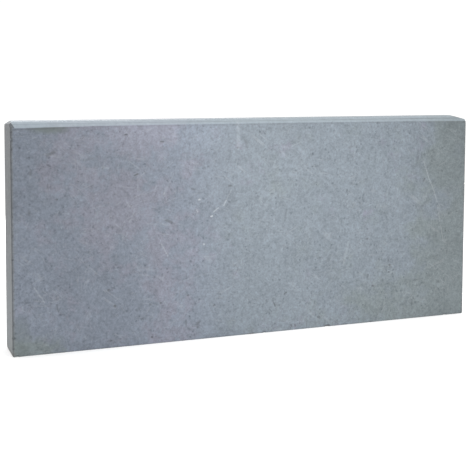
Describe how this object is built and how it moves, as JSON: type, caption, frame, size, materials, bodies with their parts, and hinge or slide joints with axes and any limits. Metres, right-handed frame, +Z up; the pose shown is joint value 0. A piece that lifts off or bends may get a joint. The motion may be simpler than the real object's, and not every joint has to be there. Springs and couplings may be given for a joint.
{
  "type": "bluestone garden edging slab",
  "caption": "Sawn slab of blue-grey limestone for lining a bed or path, standing on its long edge, with both top arrises bevelled and its corners worn.",
  "frame": {"origin": "middle of the bed, the long narrow face that the slab stands on", "axes": "+X along the length, +Y through the thickness with the show face towards -Y, +Z up towards the bevelled top"},
  "size_m": [0.45, 0.035, 0.2],
  "materials": {
    "bluestone": "matte"
  },
  "bodies": {
    "root": {"edging_slab": "bluestone"}
  },
  "joints": []
}
